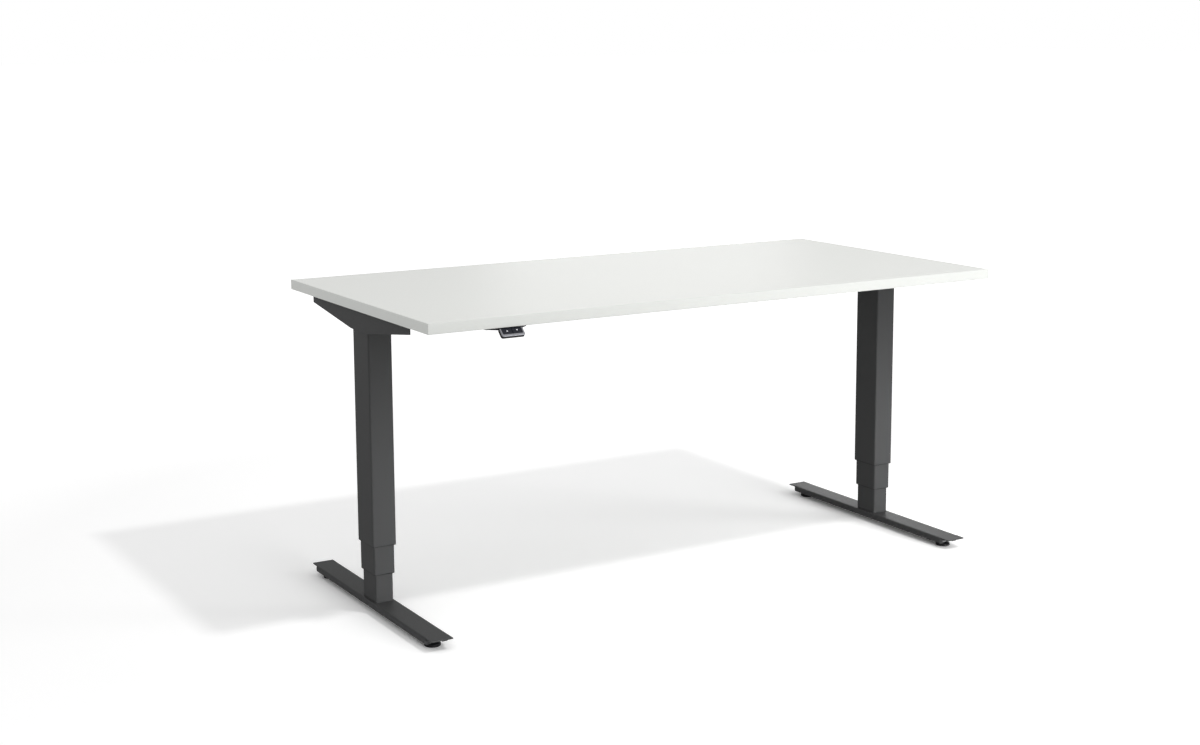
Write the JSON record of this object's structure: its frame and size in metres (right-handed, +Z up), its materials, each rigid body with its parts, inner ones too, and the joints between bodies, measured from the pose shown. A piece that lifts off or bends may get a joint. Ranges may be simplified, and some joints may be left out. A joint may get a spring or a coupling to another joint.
{
  "type": "height adjustable standing desk",
  "caption": "Electric sit-stand desk: white rectangular top on two three-stage telescopic columns with long flat feet, folded side brackets, a cross beam and a two-button handset.",
  "frame": {"origin": "on the floor under the middle of the desktop", "axes": "+X along the desktop's length to the user's right, +Y away from the user, +Z up"},
  "size_m": [1.6, 0.8133, 0.755],
  "materials": {
    "board_laminate": "matt white melamine on chipboard",
    "edge_band": "matt white edge band",
    "frame_paint": "satin dark grey powder coat",
    "guide_plastic": "satin black",
    "glide_plastic": "satin black",
    "washer_rubber": "matt",
    "cast_aluminium": "as cast",
    "motor_black": "satin black",
    "bronze_nut": "machined",
    "screw_steel": "rolled thread, greased",
    "fastener_steel": "zinc plated",
    "box_plastic": "fine spark texture",
    "handset_plastic": "satin black",
    "bezel_silver": "silver lacquer",
    "button_plastic": "satin, printed arrows",
    "circuit_green": "solder mask"
  },
  "bodies": {
    "left_base": {"left_foot": "frame_paint", "left_foot_bolts": "fastener_steel", "left_inner_tube": "frame_paint", "left_inner_pads": "guide_plastic", "left_lower_nut": "bronze_nut"},
    "left_middle_stage": {"left_middle_tube": "frame_paint", "left_middle_collar": "guide_plastic", "left_middle_pads": "guide_plastic", "left_screw_carrier": "cast_aluminium", "left_upper_nut": "bronze_nut"},
    "left_drive_screw_body": {"left_drive_screw": "screw_steel"},
    "left_hollow_screw_body": {"left_hollow_screw": "screw_steel"},
    "left_front_glide_body": {"left_front_glide": "glide_plastic"},
    "left_back_glide_body": {"left_back_glide": "glide_plastic"},
    "right_base": {"right_foot": "frame_paint", "right_foot_bolts": "fastener_steel", "right_inner_tube": "frame_paint", "right_inner_pads": "guide_plastic", "right_lower_nut": "bronze_nut"},
    "right_middle_stage": {"right_middle_tube": "frame_paint", "right_middle_collar": "guide_plastic", "right_middle_pads": "guide_plastic", "right_screw_carrier": "cast_aluminium", "right_upper_nut": "bronze_nut"},
    "right_drive_screw_body": {"right_drive_screw": "screw_steel"},
    "right_hollow_screw_body": {"right_hollow_screw": "screw_steel"},
    "right_front_glide_body": {"right_front_glide": "glide_plastic"},
    "right_back_glide_body": {"right_back_glide": "glide_plastic"},
    "up_button": {"handset_up_button": "button_plastic"},
    "down_button": {"handset_down_button": "button_plastic"},
    "desktop_and_frame": {"back_edge_band": "edge_band", "beam_lock_screws": "fastener_steel", "centre_beam_sleeves": "frame_paint", "clamping_screws": "fastener_steel", "column_head_bolts": "fastener_steel", "control_box_base": "box_plastic", "control_box_housing": "box_plastic", "desktop_board": "board_laminate", "desktop_screws": "fastener_steel", "front_edge_band": "edge_band", "handset_bezel": "bezel_silver", "handset_circuit_board": "circuit_green", "handset_housing": "handset_plastic", "isolating_washers": "washer_rubber", "left_beam_rails": "frame_paint", "left_column_head": "frame_paint", "left_edge_band": "edge_band", "left_gearbox": "cast_aluminium", "left_motor": "motor_black", "left_outer_collar": "guide_plastic", "left_outer_tube": "frame_paint", "left_side_bracket": "frame_paint", "right_beam_rails": "frame_paint", "right_column_head": "frame_paint", "right_edge_band": "edge_band", "right_gearbox": "cast_aluminium", "right_motor": "motor_black", "right_outer_collar": "guide_plastic", "right_outer_tube": "frame_paint", "right_side_bracket": "frame_paint"}
  },
  "joints": [
    {"name": "left_lower_stage_slide", "type": "slide", "parent": "left_base", "child": "left_middle_stage", "axis": [0, 0, 1], "range_m": [-0.065, 0.26]},
    {"name": "left_upper_stage_slide", "type": "slide", "parent": "left_middle_stage", "child": "desktop_and_frame", "axis": [0, 0, 1], "range_m": [-0.065, 0.26]},
    {"name": "right_upper_stage_slide", "type": "slide", "parent": "desktop_and_frame", "child": "right_middle_stage", "axis": [0, 0, -1], "range_m": [-0.065, 0.26]},
    {"name": "right_lower_stage_slide", "type": "slide", "parent": "right_middle_stage", "child": "right_base", "axis": [0, 0, -1], "range_m": [-0.065, 0.26]},
    {"name": "left_drive_screw_turn", "type": "hinge", "parent": "desktop_and_frame", "child": "left_drive_screw_body", "pos_m": [-0.756, 0, 0.5], "axis": [0, 0, 1], "range_deg": [-3901, 15601]},
    {"name": "left_hollow_screw_turn", "type": "hinge", "parent": "left_middle_stage", "child": "left_hollow_screw_body", "pos_m": [-0.756, 0, 0.5], "axis": [0, 0, 1], "range_deg": [-3901, 15601]},
    {"name": "left_front_glide_screw_out", "type": "slide", "parent": "left_base", "child": "left_front_glide_body", "axis": [0, 0, -1], "range_m": [0, 0.005]},
    {"name": "left_back_glide_screw_out", "type": "slide", "parent": "left_base", "child": "left_back_glide_body", "axis": [0, 0, -1], "range_m": [0, 0.005]},
    {"name": "right_drive_screw_turn", "type": "hinge", "parent": "desktop_and_frame", "child": "right_drive_screw_body", "pos_m": [0.756, 0, 0.5], "axis": [0, 0, 1], "range_deg": [-3901, 15601]},
    {"name": "right_hollow_screw_turn", "type": "hinge", "parent": "right_middle_stage", "child": "right_hollow_screw_body", "pos_m": [0.756, 0, 0.5], "axis": [0, 0, 1], "range_deg": [-3901, 15601]},
    {"name": "right_front_glide_screw_out", "type": "slide", "parent": "right_base", "child": "right_front_glide_body", "axis": [0, 0, -1], "range_m": [0, 0.005]},
    {"name": "right_back_glide_screw_out", "type": "slide", "parent": "right_base", "child": "right_back_glide_body", "axis": [0, 0, -1], "range_m": [0, 0.005]},
    {"name": "up_button_press", "type": "slide", "parent": "desktop_and_frame", "child": "up_button", "axis": [0, 0.682, -0.7314], "range_m": [0, 0.0008], "stiffness_N_per_m": 800, "springref_m": -0.001},
    {"name": "down_button_press", "type": "slide", "parent": "desktop_and_frame", "child": "down_button", "axis": [0, 0.682, -0.7314], "range_m": [0, 0.0008], "stiffness_N_per_m": 800, "springref_m": -0.001}
  ],
  "couplings": [
    {"joint": "left_upper_stage_slide", "follows": "left_lower_stage_slide", "ratio": 1},
    {"joint": "right_upper_stage_slide", "follows": "left_lower_stage_slide", "ratio": 1},
    {"joint": "right_lower_stage_slide", "follows": "left_lower_stage_slide", "ratio": 1},
    {"joint": "left_drive_screw_turn", "follows": "left_lower_stage_slide", "rad_per_m": 1047.2},
    {"joint": "left_hollow_screw_turn", "follows": "left_lower_stage_slide", "rad_per_m": 1047.2},
    {"joint": "right_drive_screw_turn", "follows": "left_lower_stage_slide", "rad_per_m": 1047.2},
    {"joint": "right_hollow_screw_turn", "follows": "left_lower_stage_slide", "rad_per_m": 1047.2}
  ]
}
